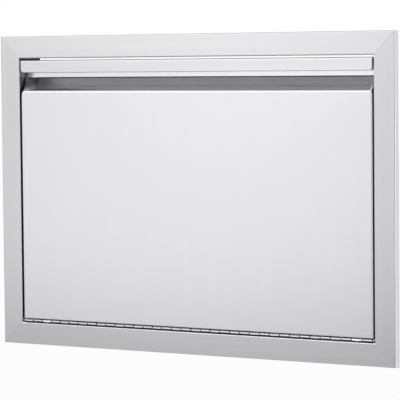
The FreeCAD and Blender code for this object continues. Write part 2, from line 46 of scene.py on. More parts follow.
mm = 0.001  # shapes are worked out in millimetres and put into the meshes in metres
print("frame loaded,", len(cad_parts), "nodes")


def cornersOf(node):
    low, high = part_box(node)
    return np.array(low) / mm, np.array(high) / mm


# Planes that several pieces share, read from the frame.
railLow, railHigh = cornersOf("frame_top_rail")
stileHigh = cornersOf("frame_left_stile")[1]
doorLow, doorHigh = cornersOf("door_front")
pinLow, pinHigh = cornersOf("hinge_pin")
halfWidth, halfHeight = railHigh[0], railHigh[2]
openX, openZ = -stileHigh[0], railLow[2]
faceY, jambBack = railLow[1], railHigh[1]
doorX, doorY, doorBack = doorHigh[0], doorLow[1], doorHigh[1]
doorBottom, doorTop = doorLow[2], doorHigh[2]
pinY, pinZ = (pinLow[1] + pinHigh[1]) / 2, (pinLow[2] + pinHigh[2]) / 2


# Mesh helpers.

def roundedLoop(points, radii, steps=8):
    # Closed outline. Each corner becomes an arc of its radius, which leaves both sides at
    # radius / tan(half the corner's angle) and is drawn by turning one spoke into the other.
    points = np.asarray(points, float)
    radii = np.broadcast_to(radii, len(points)).astype(float)[:, None]
    before = np.roll(points, 1, axis=0) - points
    after = np.roll(points, -1, axis=0) - points
    before /= np.linalg.norm(before, axis=1, keepdims=True)
    after /= np.linalg.norm(after, axis=1, keepdims=True)
    half = np.arccos(np.clip((before * after).sum(1), -1, 1))[:, None] / 2
    bisector = before + after
    bisector /= np.linalg.norm(bisector, axis=1, keepdims=True)
    centre = points + bisector * radii / np.sin(half)
    first = points + before * radii / np.tan(half) - centre
    last = points + after * radii / np.tan(half) - centre
    sweep = np.pi - 2 * half[:, :, None]
    share = np.linspace(0, 1, steps + 1)[None, :, None]
    spokes = np.sin((1 - share) * sweep) * first[:, None] + np.sin(share * sweep) * last[:, None]
    loop = (centre[:, None] + spokes / np.sin(sweep)).reshape(-1, 2)
    gap = np.linalg.norm(loop - np.roll(loop, 1, axis=0), axis=1)
    return loop[gap > 1e-6]


def closedTube(rings, stripCaps=False):
    # A closed outline carried through a row of places: quads between neighbouring rings, and an
    # end that is one flat face, or a strip between the outline's two halves.
    count, around = rings.shape[:2]
    index = np.arange(count * around).reshape(count, around)
    turned = np.roll(index, -1, axis=1)
    quads = np.stack([index[:-1], turned[:-1], turned[1:], index[1:]], axis=-1).reshape(-1, 4)
    faces = quads.tolist()
    for ring in (index[0][::-1], index[-1]):
        if stripCaps:
            side, other = ring[:around // 2], ring[around // 2:][::-1]
            faces += np.stack([side[:-1], side[1:], other[1:], other[:-1]], axis=-1).tolist()
        else:
            faces.append(ring.tolist())
    return rings.reshape(-1, 3), faces


def openGrid(points, flip=False):
    # Quads over a grid of points.
    rows, columns = points.shape[:2]
    index = np.arange(rows * columns).reshape(rows, columns)
    quads = np.stack([index[:-1, :-1], index[:-1, 1:], index[1:, 1:], index[1:, :-1]], axis=-1)
    quads = quads.reshape(-1, 4)
    return points.reshape(-1, 3), (quads[:, ::-1] if flip else quads).tolist()


def joined(shapes):
    points, faces, start = [], [], 0
    for shapePoints, shapeFaces in shapes:
        points.append(shapePoints)
        faces += [[corner + start for corner in face] for face in shapeFaces]
        start += len(shapePoints)
    return np.concatenate(points), faces


def placed(loop, order, levels):
    # The outline at each level along the third axis. Order names the axes of its two columns, then that
    # of the level.
    rings = np.empty((len(levels), len(loop), 3))
    rings[:, :, order[0]] = loop[:, 0]
    rings[:, :, order[1]] = loop[:, 1]
    rings[:, :, order[2]] = np.asarray(levels, float)[:, None]
    return rings


def turnedShape(profile, centre, axis, steps=32):
    # Revolved profile: columns are radius and place along the axis, and both ends lie on the axis.
    angle = np.linspace(0, 2 * np.pi, steps, endpoint=False)
    across = [other for other in range(3) if other != axis]
    rings = np.empty((len(profile), steps, 3))
    rings[:, :, across[0]] = centre[across[0]] + profile[:, :1] * np.cos(angle)
    rings[:, :, across[1]] = centre[across[1]] + profile[:, :1] * np.sin(angle)
    rings[:, :, axis] = centre[axis] + profile[:, 1:]
    return closedTube(rings)


def newMesh(name, shape, closed=True):
    points, faces = shape
    mesh = bpy.data.meshes.new(name)
    mesh.from_pydata((points * mm).tolist(), [], faces)
    work = bmesh.new()
    work.from_mesh(mesh)
    bmesh.ops.remove_doubles(work, verts=work.verts, dist=1e-7)
    if closed:
        bmesh.ops.recalc_face_normals(work, faces=work.faces)
    work.to_mesh(mesh)
    work.free()
    return mesh


def shadeByAngle(mesh, degrees=35):
    mesh.shade_smooth()
    mesh.set_sharp_from_angle(angle=math.radians(degrees))


def newPiece(name, shape, finish, body, nodes, closed=True):
    mesh = newMesh(name, shape, closed)
    mesh.materials.append(finish)
    shadeByAngle(mesh)
    piece = bpy.data.objects.new(name, mesh)
    scene.collection.objects.link(piece)
    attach(piece, body)
    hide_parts(*nodes)
    return piece


def cutAway(piece, shapes):
    # Cuts closed shapes out of the piece and keeps the result as its mesh.
    cutter = bpy.data.objects.new("cutter", newMesh("cutter", joined(shapes)))
    scene.collection.objects.link(cutter)
    boolean = piece.modifiers.new("cut", "BOOLEAN")
    boolean.operation = "DIFFERENCE"
    boolean.solver = "EXACT"
    boolean.object = cutter
    bpy.context.view_layer.update()
    evaluated = piece.evaluated_get(bpy.context.evaluated_depsgraph_get())
    result = bpy.data.meshes.new_from_object(evaluated)
    piece.modifiers.remove(boolean)
    piece.data = result
    bpy.data.objects.remove(cutter)
    shadeByAngle(result)


def paintFaces(piece, finish, chosen):
    # Gives a second finish to the faces that a test on their centres and normals picks out.
    mesh = piece.data
    count = len(mesh.polygons)
    centres, normals = np.empty(count * 3), np.empty(count * 3)
    mesh.polygons.foreach_get("center", centres)
    mesh.polygons.foreach_get("normal", normals)
    slots = np.empty(count, np.int32)
    mesh.polygons.foreach_get("material_index", slots)
    mesh.materials.append(finish)
    slots[chosen(centres.reshape(-1, 3) / mm, normals.reshape(-1, 3))] = len(mesh.materials) - 1
    mesh.polygons.foreach_set("material_index", slots)


def softenEdges(piece, width, segments=2):
    bevel = piece.modifiers.new("edgeRounding", "BEVEL")
    bevel.width = width * mm
    bevel.segments = segments
    bevel.limit_method = "ANGLE"
    bevel.angle_limit = math.radians(40)
    weighted = piece.modifiers.new("flatFaces", "WEIGHTED_NORMAL")
    weighted.keep_sharp = True


# Finishes.

def newFinish(name, **sockets):
    material = bpy.data.materials.new(name)
    material.use_nodes = True
    shader = material.node_tree.nodes["Principled BSDF"]
    for socket, value in sockets.items():
        shader.inputs[socket].default_value = value
    return material, material.node_tree, shader


def noiseField(tree, scale, detail):
    # Noise on object coordinates, with so many features to the metre along each axis.
    nodes, links = tree.nodes, tree.links
    place = nodes.new("ShaderNodeTexCoord")
    mapping = nodes.new("ShaderNodeMapping")
    mapping.inputs["Scale"].default_value = scale
    noise = nodes.new("ShaderNodeTexNoise")
    noise.inputs["Scale"].default_value = 1.0
    noise.inputs["Detail"].default_value = detail
    links.new(place.outputs["Object"], mapping.inputs["Vector"])
    links.new(mapping.outputs["Vector"], noise.inputs["Vector"])
    return noise.outputs["Fac"]


def spread(tree, value, low, high, fromLow=0.3, fromHigh=0.7):
    node = tree.nodes.new("ShaderNodeMapRange")
    node.inputs["From Min"].default_value = fromLow
    node.inputs["From Max"].default_value = fromHigh
    node.inputs["To Min"].default_value = low
    node.inputs["To Max"].default_value = high
    tree.links.new(value, node.inputs["Value"])
    return node.outputs["Result"]


def tinted(tree, value, dark, light):
    node = tree.nodes.new("ShaderNodeMix")
    node.data_type = "RGBA"
    node.inputs["A"].default_value = (*dark, 1)
    node.inputs["B"].default_value = (*light, 1)
    tree.links.new(value, node.inputs["Factor"])
    return node.outputs["Result"]


def blended(tree, first, second, weight):
    node = tree.nodes.new("ShaderNodeMix")
    node.data_type = "FLOAT"
    node.inputs["Factor"].default_value = weight
    tree.links.new(first, node.inputs["A"])
    tree.links.new(second, node.inputs["B"])
    return node.outputs["Result"]


def bumped(tree, shader, value, strength, distance):
    node = tree.nodes.new("ShaderNodeBump")
    node.inputs["Strength"].default_value = strength
    node.inputs["Distance"].default_value = distance * mm
    tree.links.new(value, node.inputs["Height"])
    tree.links.new(node.outputs["Normal"], shader.inputs["Normal"])


brush = {
    "fine": 2200.0, "fineAlong": 14.0, "streak": 110.0, "streakAlong": 1.6,  # features to the metre
    "detail": 3.0, "streakShare": 0.55, "glossier": 0.04, "duller": 0.05, "bump": 0.12, "bumpDepth": 0.02,
}


def brushedSteel(name, colour, roughness, along, contrast=0.03, stretch=0.7):
    # Scratches run along one axis: fine ones under half a millimetre apart, and broad streaks of them.
    # Gloss is stretched across the scratches.
    material, tree, shader = newFinish(name, Metallic=1.0, Anisotropic=stretch)
    shader.inputs["Anisotropic Rotation"].default_value = 0.25 if along == 0 else 0.0  # in turns
    fineScale, streakScale = [brush["fine"]] * 3, [brush["streak"]] * 3
    fineScale[along], streakScale[along] = brush["fineAlong"], brush["streakAlong"]
    fine = noiseField(tree, fineScale, brush["detail"])
    streak = noiseField(tree, streakScale, brush["detail"])
    tone = spread(tree, blended(tree, fine, streak, brush["streakShare"]), 0, 1)
    base = np.array(colour)
    tint = tinted(tree, tone, base * (1 - contrast), base * (1 + contrast))
    tree.links.new(tint, shader.inputs["Base Color"])
    gloss = spread(tree, fine, roughness - brush["glossier"], roughness + brush["duller"])
    tree.links.new(gloss, shader.inputs["Roughness"])
    bumped(tree, shader, fine, brush["bump"], brush["bumpDepth"])
    return material


mill = {
    "cloud": 28.0, "speck": 900.0,  # features to the metre
    "cloudDetail": 4.0, "speckDetail": 2.0, "dark": 0.975, "light": 1.02, "change": 0.03,
    "bump": 0.08, "bumpDepth": 0.02,
}


def millSteel(name, colour, roughness):
    # Rolled finish with very faint cloudy patches and no grain direction.
    material, tree, shader = newFinish(name, Metallic=1.0)
    cloud = noiseField(tree, [mill["cloud"]] * 3, mill["cloudDetail"])
    speck = noiseField(tree, [mill["speck"]] * 3, mill["speckDetail"])
    base = np.array(colour)
    tint = tinted(tree, spread(tree, cloud, 0, 1), base * mill["dark"], base * mill["light"])
    tree.links.new(tint, shader.inputs["Base Color"])
    gloss = spread(tree, speck, roughness - mill["change"], roughness + mill["change"])
    tree.links.new(gloss, shader.inputs["Roughness"])
    bumped(tree, shader, speck, mill["bump"], mill["bumpDepth"])
    return material


moulding = {"detail": 3.0, "change": 0.06, "bump": 0.2, "bumpDepth": 0.03}


def mouldedFinish(name, dark, light, roughness, grain, metallic=0.0):
    # Plastic, rubber, ferrite, or the weld beads' pale skin, which is partly a painted highlight: a speckled
    # colour over a fine grain.
    material, tree, shader = newFinish(name, Metallic=metallic)
    speck = noiseField(tree, (grain, grain, grain), moulding["detail"])
    tint = tinted(tree, spread(tree, speck, 0, 1), dark, light)
    tree.links.new(tint, shader.inputs["Base Color"])
    gloss = spread(tree, speck, roughness - moulding["change"], roughness + moulding["change"])
    tree.links.new(gloss, shader.inputs["Roughness"])
    bumped(tree, shader, speck, moulding["bump"], moulding["bumpDepth"])
    return material


railSteel = brushedSteel("railSteel", (0.675, 0.675, 0.696), 0.42, 0, 0.035, 0.0)
stileSteel = brushedSteel("stileSteel", (0.68, 0.68, 0.702), 0.34, 2, 0.045)
doorSteel = brushedSteel("doorSteel", (0.80, 0.80, 0.815), 0.34, 2, 0.007)
pullSteel = brushedSteel("pullSteel", (0.655, 0.655, 0.667), 0.32, 0, 0.05, 0.25)
# The slope: the door's sheet, smoother, with a lighter tone that is painted light.
slopeLitSteel = brushedSteel("slopeLitSteel", (0.86, 0.855, 0.885), 0.16, 2, 0.012, 0.0)
wallSteel = brushedSteel("wallSteel", (0.75, 0.75, 0.765), 0.2, 2, 0.012)
# Jamb: unbrushed steel, darkened partly as painted shade from the gap round the door.
jambSteelAndShade = millSteel("jambSteelAndShade", (0.42, 0.42, 0.428), 0.3)
# Inside of the door's sheet: unbrushed steel, darkened partly as painted shade.
insideSteelAndShade = millSteel("insideSteelAndShade", (0.28, 0.28, 0.287), 0.4)
# Painted shade for the door's side returns, which sit in the gaps beside the door.
returnShade = millSteel("returnShade", (0.17, 0.17, 0.175), 0.4)
# Painted shade for the crease at the top of the slope.
creaseShade = millSteel("creaseShade", (0.30, 0.30, 0.308), 0.4)
# Painted shade for the door's bottom bend over the hinge and the lip's lower edge.
gapShade = millSteel("gapShade", (0.12, 0.12, 0.124), 0.35)
shadeSteel = millSteel("shadeSteel", (0.04, 0.04, 0.042), 0.35)
pullInside = millSteel("pullInside", (0.475, 0.475, 0.488), 0.4)
# Painted light: a pale copy of the steel for highlights and for faces seen in reflections.
paintedLightSteel = millSteel("paintedLightSteel", (0.90, 0.90, 0.915), 0.26)
cornerSteel = millSteel("cornerSteel", (0.66, 0.66, 0.675), 0.13)
# Painted light for the bottom rail's outer bend.
paintedEdgeLight = millSteel("paintedEdgeLight", (0.92, 0.92, 0.935), 0.6)
# Painted shade for the hinge pin, seen only through the gaps between knuckles.
pinShade = millSteel("pinShade", (0.12, 0.12, 0.125), 0.35)
linerSteel = millSteel("linerSteel", (0.68, 0.685, 0.69), 0.36)
hingeSteel = brushedSteel("hingeSteel", (0.585, 0.585, 0.597), 0.22, 0, 0.03, 0.2)
innerSteel = millSteel("innerSteel", (0.62, 0.622, 0.63), 0.4)
platedSteel = millSteel("platedSteel", (0.66, 0.68, 0.70), 0.28)
# Weld beads: near white and hardly metallic, partly a painted highlight.
weldHighlight = mouldedFinish("weldHighlight", (0.88, 0.88, 0.87), (0.97, 0.97, 0.96), 0.6, 900.0, 0.1)
bumperRubber = mouldedFinish("bumperRubber", (0.018, 0.018, 0.018), (0.035, 0.035, 0.035), 0.75, 700.0)
catchPlastic = mouldedFinish("catchPlastic", (0.03, 0.03, 0.032), (0.05, 0.05, 0.053), 0.5, 1200.0)
magnetFerrite = mouldedFinish("magnetFerrite", (0.07, 0.07, 0.075), (0.12, 0.12, 0.125), 0.6, 900.0, 0.3)
print("finishes ready")


# Frame: four bent sheets, mitred where they meet.

railSheet = {
    "gauge": 1.2, "bend": 2.0, "edge": 0.22, "mountHole": 2.6, "mountInset": 9.0, "mountEnd": 78.0,
    "catchHole": 1.85, "drill": 4.0, "earMiddle": 5.5,  # the catch's screw from the end of its ear
    "slack": 0.1, "turned": 0.05,  # for the tests that pick out the jamb and the bends
}


def railShape(side, upright):
    # The bent section (outer return, face, jamb) is carried between the two mitre planes, on which the
    # place along the rail is the distance from the centre plus the other side's extra half length.
    gauge, bend = railSheet["gauge"], railSheet["bend"]
    half, opening = (halfWidth, openX) if upright else (halfHeight, openZ)
    extra = (halfHeight - halfWidth) if upright else (halfWidth - halfHeight)
    section = [
        (half, 0), (half, faceY), (opening, faceY), (opening, jambBack),
        (opening + gauge, jambBack), (opening + gauge, faceY + gauge),
        (half - gauge, faceY + gauge), (half - gauge, 0),
    ]
    radii = [0, bend, bend, 0, 0, bend - gauge, bend - gauge, 0]
    loop = roundedLoop(section, radii)
    out, along = (0, 2) if upright else (2, 0)
    rings = np.empty((2, len(loop), 3))
    rings[:, :, out] = side * loop[:, 0]
    rings[:, :, 1] = loop[:, 1]
    rings[:, :, along] = np.array([[-1], [1]]) * (loop[:, 0] + extra)
    return closedTube(rings)


def roundBar(centre, axis, radius, reach, steps=28):
    profile = np.array([(0, -reach), (radius, -reach), (radius, reach), (0, reach)], float)
    return turnedShape(profile, centre, axis, steps)


def frameSheet(node, side, upright, finish, holes):
    piece = newPiece(node + "_sheet", railShape(side, upright), finish, "frame", [node])
    if holes:
        cutAway(piece, [roundBar(place, 0, radius, railSheet["drill"]) for place, radius in holes])
    out, opening = (0, openX) if upright else (2, openZ)
    inJamb = opening + railSheet["gauge"] + railSheet["slack"]
    bent, turned = faceY + railSheet["bend"], railSheet["turned"]

    def onBend(at, edge):
        return (np.abs(np.abs(at[:, out]) - edge) < railSheet["bend"]) & (at[:, 1] < bent)

    # The jamb isn't brushed, and its dark tone is partly painted shade from the gap round the door. The brake
    # leaves the stiles' outer bends smoother than the face.
    paintFaces(piece, jambSteelAndShade, lambda at, normal: (np.abs(at[:, out]) < inJamb) & (at[:, 1] > bent))
    if node == "frame_bottom_rail":
        # The bottom rail's inner bend gets a painted highlight.
        paintFaces(piece, paintedLightSteel, lambda at, normal: onBend(at, openZ) & (normal[:, 2] > turned))
        # The bottom rail's outer bend gets painted light.
        paintFaces(piece, paintedEdgeLight, lambda at, normal: onBend(at, halfHeight) & (normal[:, 2] < -turned))
    if upright:
        paintFaces(piece, cornerSteel,
                   lambda at, normal: onBend(at, halfWidth) & (side * normal[:, 0] > turned))
    softenEdges(piece, railSheet["edge"])


housingLow, housingHigh = cornersOf("right_catch_housing")
screwY = (housingLow[1] + housingHigh[1]) / 2
screwZ = [housingLow[2] + railSheet["earMiddle"], housingHigh[2] - railSheet["earMiddle"]]
mountY = jambBack - railSheet["mountInset"]
mountZ = openZ - railSheet["mountEnd"]
frameSheet("frame_top_rail", 1, False, railSteel, [])
frameSheet("frame_bottom_rail", -1, False, railSteel, [])
for node, side in (("frame_left_stile", -1), ("frame_right_stile", 1)):
    sideHoles = [((side * openX, mountY, end * mountZ), railSheet["mountHole"]) for end in (-1, 1)]
    sideHoles += [((side * openX, screwY, z), railSheet["catchHole"]) for z in screwZ]
    frameSheet(node, side, True, stileSteel, sideHoles)
print("frame sheets ready")


# Door: the folded front with its finger pull, then the top with the lip, then the liner.

doorSkin = {
    "gauge": 1.2, "bend": 2.5, "lowBend": 1.6, "hem": 16.0, "hemBend": 1.6,
    "lipHeight": 21.4, "lipCorner": 7.0, "lipEdge": 0.58, "edgeRound": 0.35,
    "mouth": 32.6, "pullDepth": 21.0, "slopeRise": 24.2,
    "foldRound": 7.0, "wallRound": 2.0,  # rounding of the slope's ends, at the fold and at the wall
    "foldBlend": 1.35, "wallBlend": 1.0,  # how far a fold's two planes blend into each other
    "rowGap": 0.6, "columnGap": 0.7,  # from a bend's last row or column to the next
    "pastFold": 1.2, "pastBend": 1.9, "pastLip": 2.0,  # depths behind the face where other finishes start
    "creaseDrop": 0.6, "creaseHalf": 0.75,  # painted shade line along the slope's top
}
lipBottom = doorTop - doorSkin["lipHeight"]
panelTop = lipBottom - doorSkin["mouth"]
slopeTop = panelTop + doorSkin["slopeRise"]
wallY = doorY + doorSkin["pullDepth"]


def softMax(first, second, blend):
    # The greater of two, with a parabola where they differ by less than the blend.
    near = np.maximum(blend - np.abs(first - second), 0)
    return np.maximum(first, second) + near ** 2 / (4 * blend)


def edgeRoll(place, end, radius):
    # How far a quarter round of that radius has turned back at a place near the end.
    reach = np.clip(np.abs(place) - (end - radius), 0, radius)
    return radius - np.sqrt(radius ** 2 - reach ** 2)


def frontGrid():
    # Depth over the door's width and height. The panel is flat, the slope is a plane that runs back to
    # the wall, and the deeper of them shows. Each rolls back at the sides by its own quarter round, which on
    # the slope narrows from the fold to the wall, and the panel at the bottom too, where the corner's grid
    # is drawn in from a square to a disc. The grid's rows lie closer together at the folds.
    bend, lowBend = doorSkin["bend"], doorSkin["lowBend"]
    foldRound, wallRound = doorSkin["foldRound"], doorSkin["wallRound"]
    turn = np.linspace(0, np.pi / 2, 19)
    side = doorX - foldRound + foldRound * np.sin(turn)
    inner = doorX - foldRound - doorSkin["columnGap"]
    across = np.concatenate([-side[::-1], np.linspace(-inner, inner, 41), side])
    underTop = doorTop - doorSkin["gauge"]
    up = np.concatenate([
        doorBottom + lowBend - lowBend * np.sin(turn[::-2]),  # bottom bend
        np.linspace(doorBottom + lowBend + doorSkin["rowGap"], panelTop - 10, 24),  # panel
        np.linspace(panelTop - 9.5, panelTop + 3, 26),  # fold
        np.linspace(panelTop + 4.5, slopeTop - 2, 8),  # slope
        np.linspace(slopeTop - 1.5, slopeTop + 1.5, 11),  # crease
        np.linspace(slopeTop + 3, underTop, 6),  # wall
    ])
    x, z = np.meshgrid(across, up)
    sideShare = np.clip(np.abs(x) - (doorX - bend), 0, bend) / bend
    lowShare = np.clip(doorBottom + lowBend - z, 0, lowBend) / lowBend
    sideTurn, lowTurn = 1 - np.sqrt(1 - sideShare ** 2), 1 - np.sqrt(1 - lowShare ** 2)
    panel = doorY + bend * sideTurn + lowBend * lowTurn * (1 - sideTurn)
    slope = doorY + (z - panelTop) * doorSkin["pullDepth"] / doorSkin["slopeRise"]
    endRound = foldRound + (wallRound - foldRound) * np.clip((z - panelTop) / doorSkin["slopeRise"], 0, 1)
    recess = -softMax(-slope, -wallY, doorSkin["wallBlend"]) + edgeRoll(x, doorX, endRound)
    y = softMax(panel, recess, doorSkin["foldBlend"])
    inX = bend * sideShare * (1 - np.sqrt(1 - lowShare ** 2 / 2))
    inZ = lowBend * lowShare * (1 - np.sqrt(1 - sideShare ** 2 / 2))
    return np.stack([x - np.sign(x) * inX, y, z + inZ], axis=-1)


def returnGrid(front):
    # From the front's left, bottom and right edges straight back, round a quarter bend and in along the
    # back as a hem. A point that has come in by some width is held inside the outline less that width.
    edge = np.concatenate([front[::-1, 0], front[0, 1:-1], front[:, -1]])
    bend = doorSkin["hemBend"]
    turn = np.linspace(0, np.pi / 2, 7)
    width = np.concatenate([[0], bend * (1 - np.cos(turn)), [doorSkin["hem"]]])[:, None]
    depth = np.concatenate([doorBack - bend + bend * np.sin(turn), [doorBack]])[:, None]
    x = np.clip(edge[:, 0], -doorX + width, doorX - width)
    z = np.maximum(edge[:, 2], doorBottom + width)
    y = np.concatenate([edge[None, :, 1], np.broadcast_to(depth, (len(depth), len(edge)))])
    return np.stack([x, y, z], axis=-1)


front = frontGrid()
skinShape = joined([openGrid(front), openGrid(returnGrid(front), flip=True)])
skin = newPiece("door_skin", skinShape, doorSteel, "door", ["door_front"], closed=False)
wall = skin.modifiers.new("gauge", "SOLIDIFY")
wall.thickness = doorSkin["gauge"] * mm
wall.offset = -1.0
foldY, bendY = doorY + doorSkin["pastFold"], doorY + doorSkin["pastBend"]
creaseZ, creaseHalf = slopeTop - doorSkin["creaseDrop"], doorSkin["creaseHalf"]
underBend = doorBottom + doorSkin["lowBend"]
# Each finish goes by a face's place and by how far its normal leans along an axis.
# The slope gets a smoother copy of the door's steel whose lighter tone is painted light.
paintFaces(skin, slopeLitSteel, lambda at, normal: (at[:, 1] > foldY) & (normal[:, 2] > 0.3))
paintFaces(skin, wallSteel, lambda at, normal: (at[:, 2] > creaseZ) & (normal[:, 1] < -0.8))
# The door's back, hem and bottom return are unbrushed and partly darkened as painted shade.
paintFaces(skin, insideSteelAndShade, lambda at, normal: (at[:, 1] > bendY) & (normal[:, 1] > -0.3))
# The door's side returns get painted shade.
paintFaces(skin, returnShade, lambda at, normal: (at[:, 1] > bendY) & (np.abs(normal[:, 0]) > 0.7))
# A thin line of painted shade along the crease at the slope's top.
paintFaces(skin, creaseShade,
           lambda at, normal: (np.abs(at[:, 2] - creaseZ) < creaseHalf) & (normal[:, 1] < -0.3))
# The bottom bend over the hinge gets painted shade.
paintFaces(skin, gapShade,
           lambda at, normal: (at[:, 2] < underBend) & (normal[:, 2] < -0.3) & (at[:, 1] < bendY))
# The sheet's inner side takes the same unbrushed, partly painted shade.
wall.material_offset = list(skin.data.materials).index(insideSteelAndShade)


def pullShape():
    # Up the lip, round the bend and back along the top, then the same on the inside. Each height on the
    # lip has its own half width, which follows a quarter round at the lower corners. The lower edge is
    # rounded too.
    gauge, bend, rowGap = doorSkin["gauge"], doorSkin["bend"], doorSkin["rowGap"]
    corner, edge = doorSkin["lipCorner"], doorSkin["edgeRound"]
    edgeTurn, turn = np.linspace(0, np.pi / 2, 5), np.linspace(0, np.pi / 2, 13)
    cornerTurn = np.linspace(math.acos(1 - edge / corner), np.pi / 2, 13)[1:]
    height = np.concatenate([edge * (1 - np.cos(edgeTurn)), corner * (1 - np.cos(cornerTurn))])
    lipReach = doorX - corner + np.sqrt(corner ** 2 - (corner - height) ** 2)
    lipZ = np.append(lipBottom + height, doorTop - bend - rowGap)
    edgeIn = np.zeros(len(lipZ))
    edgeIn[:len(edgeTurn)] = edge * (1 - np.sin(edgeTurn))
    topY = np.array([doorY + bend + rowGap, doorBack])

    def side(inset, way):
        radius = bend - inset
        lip = np.stack([doorY + inset + way * edgeIn, lipZ], axis=-1)
        roundY, roundZ = doorY + bend - radius * np.cos(turn), doorTop - bend + radius * np.sin(turn)
        fold = np.stack([roundY, roundZ], axis=-1)
        top = np.stack([topY, np.full(len(topY), doorTop - inset)], axis=-1)
        return np.concatenate([lip, fold, top])

    outline = np.concatenate([side(0, 1), side(gauge, -1)[::-1]])
    reach = np.concatenate([lipReach, np.full(1 + len(turn) + len(topY), doorX)])
    reach = np.concatenate([reach, reach[::-1]])
    share = np.linspace(-1, 1, 9)
    rings = np.empty((len(share), len(outline), 3))
    rings[:, :, 0] = share[:, None] * reach
    rings[:, :, 1:] = outline
    return closedTube(rings, stripCaps=True)


pull = newPiece("door_pull_lip", pullShape(), pullSteel, "door", ["door_front"])
inPull = doorY + doorSkin["pastLip"]
paintFaces(pull, pullInside,
           lambda at, normal: (normal[:, 1] > 0.1) | ((normal[:, 2] < -0.1) & (at[:, 1] > inPull)))
# The lip's back face gets painted light, which the slope and wall below reflect.
paintFaces(pull, paintedLightSteel, lambda at, normal: (normal[:, 1] > 0.9) & (at[:, 1] < inPull))
# A thin strip along the lip's lower edge gets painted shade, a dark line where it rounds under.
lipEdgeTop = lipBottom + doorSkin["lipEdge"]
paintFaces(pull, gapShade, lambda at, normal: (at[:, 2] < lipEdgeTop) & (normal[:, 1] < -0.5))

linerSheet = {"corner": 4.0, "edge": 0.2}
linerLow, linerHigh = cornersOf("door_liner")


def plateShape(low, high, corner):
    # Rounded rectangle in the door's plane, as thick as the node it stands for.
    outline = [(low[0], low[2]), (high[0], low[2]), (high[0], high[2]), (low[0], high[2])]
    return closedTube(placed(roundedLoop(outline, corner), (0, 2, 1), (low[1], high[1])))


liner = newPiece("door_liner_sheet", plateShape(linerLow, linerHigh, linerSheet["corner"]),
                 linerSteel, "door", ["door_liner"])
softenEdges(liner, linerSheet["edge"])
print("door ready")


# Continuous hinge: rolled knuckles on two leaves, the pin, and two tack welds.

hinge = {
    "knuckles": 36, "gap": 1.7, "radius": 2.6, "gauge": 1.2, "rise": 2.9, "rollEnd": 305.0, "chamfer": 0.25,
    "leafWidth": 20.0, "leafEdge": 0.2, "overlap": 0.4, "leftShort": 3.0, "pinHead": 0.5,
    "welded": (2, 34),  # the knuckles over the tack welds
    "under": -0.2, "over": 0.8, "ends": 0.9,  # slopes from which a knuckle's faces are in shade
}
hingeLeft = -doorX + hinge["leftShort"]
knucklePitch = (doorX - hingeLeft) / hinge["knuckles"]


def knuckleLoop(trim, up):
    # The leaf's end rolled round the pin: a spiral that starts level with the leaf, closes to the barrel's
    # radius in the first third of a turn and stops short of the leaf. The inside is the same, less the gauge.
    turn = np.radians(np.linspace(0, hinge["rollEnd"], 29))
    settle = np.clip(turn / (2 * np.pi / 3), 0, 1)
    radius = hinge["radius"] + (hinge["rise"] - hinge["radius"]) * (1 + np.cos(np.pi * settle)) / 2
    spokes = np.stack([-np.sin(turn), -np.cos(turn)], axis=-1)
    outer = spokes * (radius - trim)[:, None]
    inner = spokes[::-1] * (radius - hinge["gauge"] + trim)[::-1, None]
    root = hinge["rise"] + hinge["overlap"]
    ends = np.array([(root, trim - hinge["rise"]), (root, hinge["gauge"] - trim - hinge["rise"])])
    loop = np.concatenate([ends[:1], outer, inner, ends[1:]])
    return loop * (1, -1) if up else loop


def leafShape(first, up):
    # Every second knuckle, each drawn in a little at its ends, and the flat leaf behind them.
    chamfer = hinge["chamfer"]
    loops = np.stack([knuckleLoop(trim, up) for trim in (chamfer, 0, 0, chamfer)])
    shapes = []
    for number in range(first, hinge["knuckles"], 2):
        start = hingeLeft + number * knucklePitch + hinge["gap"] / 2
        stop = start + knucklePitch - hinge["gap"]
        levels = np.array([start, start + chamfer, stop - chamfer, stop])
        rings = np.empty((*loops.shape[:2], 3))
        rings[:, :, 0] = levels[:, None]
        rings[:, :, 1:] = loops + (pinY, pinZ)
        shapes.append(closedTube(rings))
    near, far = hinge["rise"], hinge["leafWidth"]
    low = hinge["rise"] - hinge["gauge"] if up else -hinge["rise"]
    high = low + hinge["gauge"]
    outline = [(near, low), (far, low), (far, high), (near, high)]
    loop = roundedLoop(outline, hinge["leafEdge"], 3) + (pinY, pinZ)
    shapes.append(closedTube(placed(loop, (1, 2, 0), (hingeLeft, doorX))))
    return joined(shapes)


def inGaps(at, normal):
    # Faces of the barrel that look up, down or to a neighbouring knuckle.
    upOrDown = (normal[:, 2] < hinge["under"]) | (normal[:, 2] > hinge["over"])
    return (upOrDown | (np.abs(normal[:, 0]) > hinge["ends"])) & (at[:, 1] < pinY + hinge["radius"])


for name, first, body in (("hinge_frame_leaf", 0, "frame"), ("hinge_door_leaf", 1, "door")):
    shape = leafShape(first, body == "door")
    leaf = newPiece(name + "_rolled", shape, hingeSteel, body, [name])
    # The knuckles over the two welds get a painted highlight, and the faces round the barrel in its gaps get
    # painted shade.
    if body == "frame":
        for number in hinge["welded"]:
            middle = hingeLeft + (number + 0.5) * knucklePitch
            paintFaces(leaf, paintedLightSteel, lambda at, normal: np.abs(at[:, 0] - middle) < knucklePitch / 2)
    paintFaces(leaf, shadeSteel, inGaps)

pinRadius = (pinHigh[1] - pinLow[1]) / 2
headTurn = np.linspace(0, np.pi / 2, 5)
pinHead = np.stack([pinRadius * np.sin(headTurn), hinge["pinHead"] * (1 - np.cos(headTurn))], axis=-1)
pinProfile = np.concatenate([pinHead + (0, hingeLeft), (pinHead * (1, -1))[::-1] + (0, doorX)])
pinShape = turnedShape(pinProfile, (0, pinY, pinZ), 0, 20)
# The pin's dark tone is painted shade.
newPiece("hinge_pin_rod", pinShape, pinShade, "frame", ["hinge_pin"])

